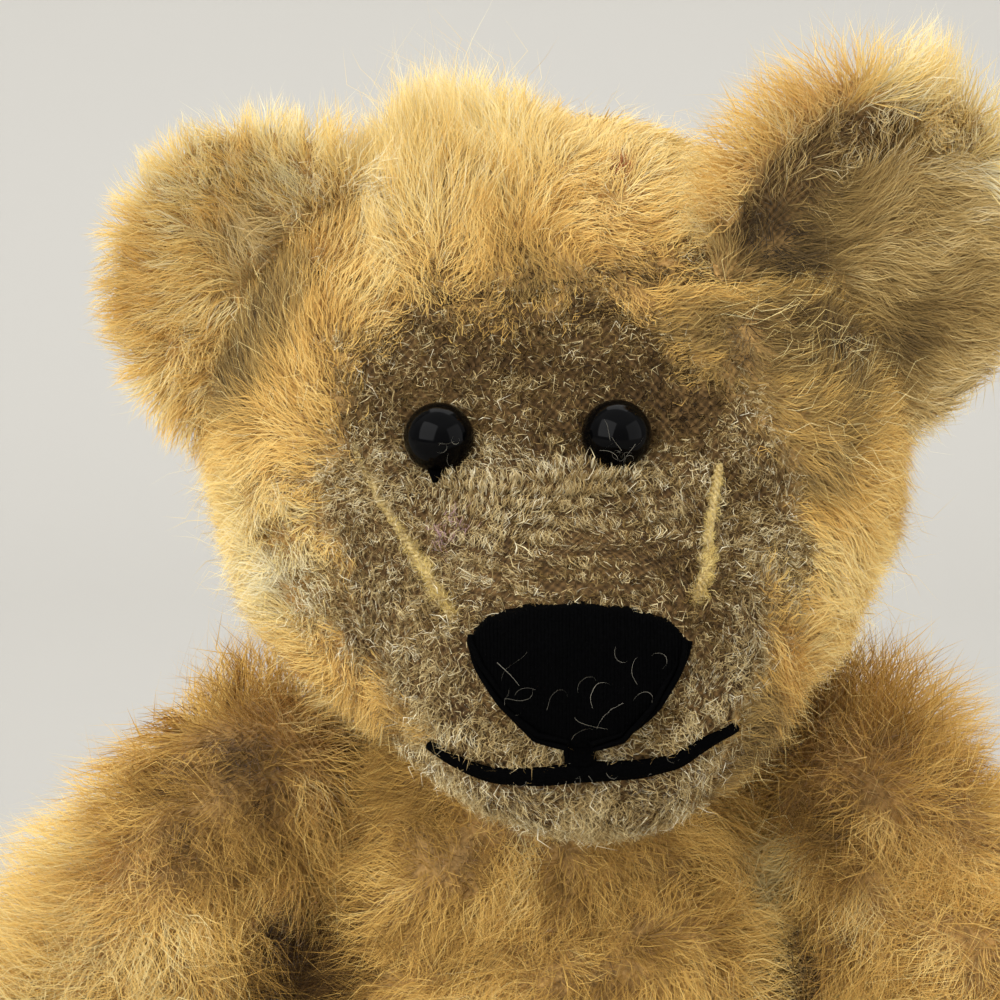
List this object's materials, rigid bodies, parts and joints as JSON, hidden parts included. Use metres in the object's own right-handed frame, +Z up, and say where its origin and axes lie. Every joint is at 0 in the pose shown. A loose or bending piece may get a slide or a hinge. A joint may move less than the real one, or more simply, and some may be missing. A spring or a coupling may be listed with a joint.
{
  "type": "threadbare jointed teddy bear",
  "caption": "Old mohair teddy bear with worn pile, boot-button eyes and stitched nose; head, arms and legs turn on disc joints.",
  "frame": {"origin": "middle of the torso's flat base, on the surface that the bear sits on, under the neck's axis", "axes": "+Z up, the bear faces -Y, its left side is at +X"},
  "size_m": [0.1839, 0.1495, 0.2045],
  "materials": {
    "mohair": "long golden mohair pile over cotton backing, worn thin on the face and limbs",
    "felt": "brown wool felt, matted",
    "stuffing": "packed wood wool",
    "boot_button": "polished black",
    "black_thread": "waxed cotton thread, slight sheen",
    "straw_thread": "sewn seam with pale pile caught in it",
    "hardboard": "matt",
    "steel": "dull"
  },
  "bodies": {
    "torso": {"torso_skin": "mohair", "torso_filling": "stuffing", "neck_inner_disc": "hardboard", "neck_inner_washer": "steel", "neck_cotter_pin": "steel", "shoulder_left_inner_disc": "hardboard", "shoulder_left_inner_washer": "steel", "shoulder_left_cotter_pin": "steel", "shoulder_right_inner_disc": "hardboard", "shoulder_right_inner_washer": "steel", "shoulder_right_cotter_pin": "steel", "hip_left_inner_disc": "hardboard", "hip_left_inner_washer": "steel", "hip_left_cotter_pin": "steel", "hip_right_inner_disc": "hardboard", "hip_right_inner_washer": "steel", "hip_right_cotter_pin": "steel"},
    "head": {"head_skin": "mohair", "head_filling": "stuffing", "ear_left": "mohair", "ear_right": "mohair", "eye_left": "boot_button", "eye_right": "boot_button", "nose_stitching": "black_thread", "mouth_stitch_left": "black_thread", "mouth_stitch_right": "black_thread", "mouth_stitch_middle": "black_thread", "gusset_seam_left": "straw_thread", "gusset_seam_right": "straw_thread", "neck_outer_disc": "hardboard", "neck_outer_washer": "steel"},
    "arm_left": {"arm_left_skin": "mohair", "arm_left_filling": "stuffing", "arm_left_paw_pad": "felt", "shoulder_left_outer_disc": "hardboard", "shoulder_left_outer_washer": "steel"},
    "leg_left": {"leg_left_skin": "mohair", "leg_left_filling": "stuffing", "leg_left_sole_pad": "felt", "hip_left_outer_disc": "hardboard", "hip_left_outer_washer": "steel"},
    "arm_right": {"arm_right_skin": "mohair", "arm_right_filling": "stuffing", "arm_right_paw_pad": "felt", "shoulder_right_outer_disc": "hardboard", "shoulder_right_outer_washer": "steel"},
    "leg_right": {"leg_right_skin": "mohair", "leg_right_filling": "stuffing", "leg_right_sole_pad": "felt", "hip_right_outer_disc": "hardboard", "hip_right_outer_washer": "steel"}
  },
  "joints": [
    {"name": "neck_turn", "type": "hinge", "parent": "torso", "child": "head", "pos_m": [0, 0, 0.113], "axis": [0, 0, 1], "continuous": true},
    {"name": "shoulder_left_swing", "type": "hinge", "parent": "torso", "child": "arm_left", "pos_m": [0.0315, 0, 0.087], "axis": [-0.809, 0, -0.5878], "range_deg": [-110, 45]},
    {"name": "shoulder_right_swing", "type": "hinge", "parent": "torso", "child": "arm_right", "pos_m": [-0.0315, 0, 0.087], "axis": [-0.809, 0, 0.5878], "range_deg": [-95, 60]},
    {"name": "hip_left_swing", "type": "hinge", "parent": "torso", "child": "leg_left", "pos_m": [0.036, -0.006, 0.025], "axis": [0.9962, 0.0872, 0], "range_deg": [-10, 90]},
    {"name": "hip_right_swing", "type": "hinge", "parent": "torso", "child": "leg_right", "pos_m": [-0.036, -0.006, 0.025], "axis": [0.9962, -0.0872, 0], "range_deg": [-15, 90]}
  ]
}
